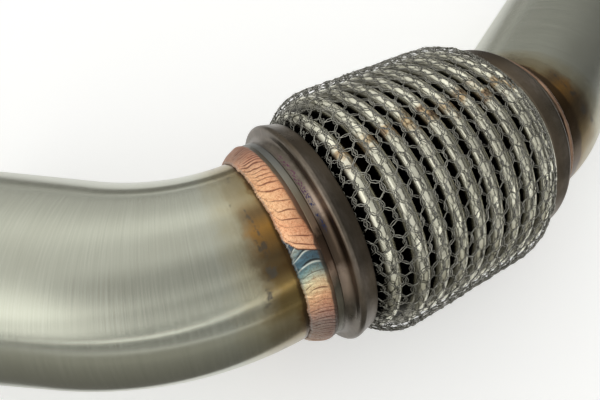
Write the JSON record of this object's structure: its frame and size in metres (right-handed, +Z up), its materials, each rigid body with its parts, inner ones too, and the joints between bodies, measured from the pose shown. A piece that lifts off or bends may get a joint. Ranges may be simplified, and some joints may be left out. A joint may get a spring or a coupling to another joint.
{
  "type": "turbo downpipe",
  "caption": "Turbo downpipe: bent stainless tubes welded to a flex coupling with bellows and a knitted wire sleeve, with V-band flanges at the ends.",
  "frame": {"origin": "centre of the turbo flange's face, on the axis of its bore", "axes": "+X along the flex coupling, from the outlet side to the turbo side; +Y to the side that both tubes bend to; +Z up, as the pipe lies on a flat surface"},
  "size_m": [0.4866, 0.173, 0.11],
  "materials": {
    "tube_steel": "brushed round the tube, straw to brown heat tint beside the coupling",
    "bellows_steel": "bright formed sheet with gold heat tint in patches",
    "knit_wire": "bright drawn wire, knitted in pairs",
    "liner_steel": "dull rolled strip",
    "cap_oxide": "dark brown and purple oxide with a soft gloss",
    "collar_steel": "grey green oxide, turned",
    "weld_copper": "rippled bead, copper and peach with a teal patch",
    "weld_dark": "rippled bead, brown oxide",
    "weld_silver": "rippled bead, straw tint",
    "flange_steel": "turned"
  },
  "bodies": {
    "root": {"turbo_flange": "flange_steel", "turbo_flange_weld": "weld_silver", "turbo_tube": "tube_steel", "turbo_coupling_weld": "weld_dark", "turbo_collar": "collar_steel", "turbo_cap": "cap_oxide", "bellows": "bellows_steel", "liner": "liner_steel", "knit_sleeve": "knit_wire", "outlet_cap": "cap_oxide", "outlet_collar": "collar_steel", "outlet_coupling_weld": "weld_copper", "outlet_tube": "tube_steel", "outlet_flange_weld": "weld_silver", "outlet_flange": "flange_steel"}
  },
  "joints": []
}
